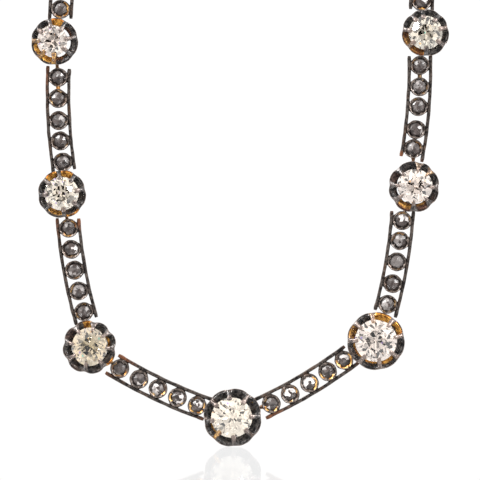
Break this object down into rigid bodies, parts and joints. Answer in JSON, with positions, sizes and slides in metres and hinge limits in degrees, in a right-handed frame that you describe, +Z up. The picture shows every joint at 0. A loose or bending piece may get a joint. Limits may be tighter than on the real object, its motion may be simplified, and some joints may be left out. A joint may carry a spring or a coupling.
{
  "type": "diamond necklace",
  "caption": "Antique-style necklace: scalloped claw collets holding round diamonds, joined by bowed two-rail bars of rose-cut diamonds with hooked wire eyes, one closed loop with a plain clasp.",
  "frame": {"origin": "middle of the clasp's inner edge, at the top of the loop, where the necklace hangs on the back of a neck or on a hook", "axes": "+Z up along the hanging loop, +X to the viewer's right, the diamonds face -Y; the eyes of the links lie in the plane y = 0"},
  "size_m": [0.0651, 0.0046, 0.174],
  "materials": {
    "collet_metal": "blackened silver with worn gold lining",
    "bar_metal": "blackened silver with copper-brown edges",
    "clasp_metal": "blackened silver",
    "diamond": "polished facets",
    "rose_diamond": "soft old polish"
  },
  "bodies": {
    "root": {"collet_1": "collet_metal", "collet_2": "collet_metal", "collet_3": "collet_metal", "collet_4": "collet_metal", "collet_5": "collet_metal", "collet_6": "collet_metal", "collet_7": "collet_metal", "collet_8": "collet_metal", "collet_9": "collet_metal", "collet_10": "collet_metal", "collet_11": "collet_metal", "collet_12": "collet_metal", "collet_13": "collet_metal", "collet_14": "collet_metal", "collet_15": "collet_metal", "diamond_1": "diamond", "diamond_2": "diamond", "diamond_3": "diamond", "diamond_4": "diamond", "diamond_5": "diamond", "diamond_6": "diamond", "diamond_7": "diamond", "diamond_8": "diamond", "diamond_9": "diamond", "diamond_10": "diamond", "diamond_11": "diamond", "diamond_12": "diamond", "diamond_13": "diamond", "diamond_14": "diamond", "diamond_15": "diamond", "bar_1": "bar_metal", "bar_2": "bar_metal", "bar_3": "bar_metal", "bar_4": "bar_metal", "bar_5": "bar_metal", "bar_6": "bar_metal", "bar_7": "bar_metal", "bar_8": "bar_metal", "bar_9": "bar_metal", "bar_10": "bar_metal", "bar_11": "bar_metal", "bar_12": "bar_metal", "bar_13": "bar_metal", "bar_14": "bar_metal", "bar_15": "bar_metal", "bar_16": "bar_metal", "clasp": "clasp_metal", "small_diamonds_left": "rose_diamond", "small_diamonds_right": "rose_diamond"}
  },
  "joints": []
}
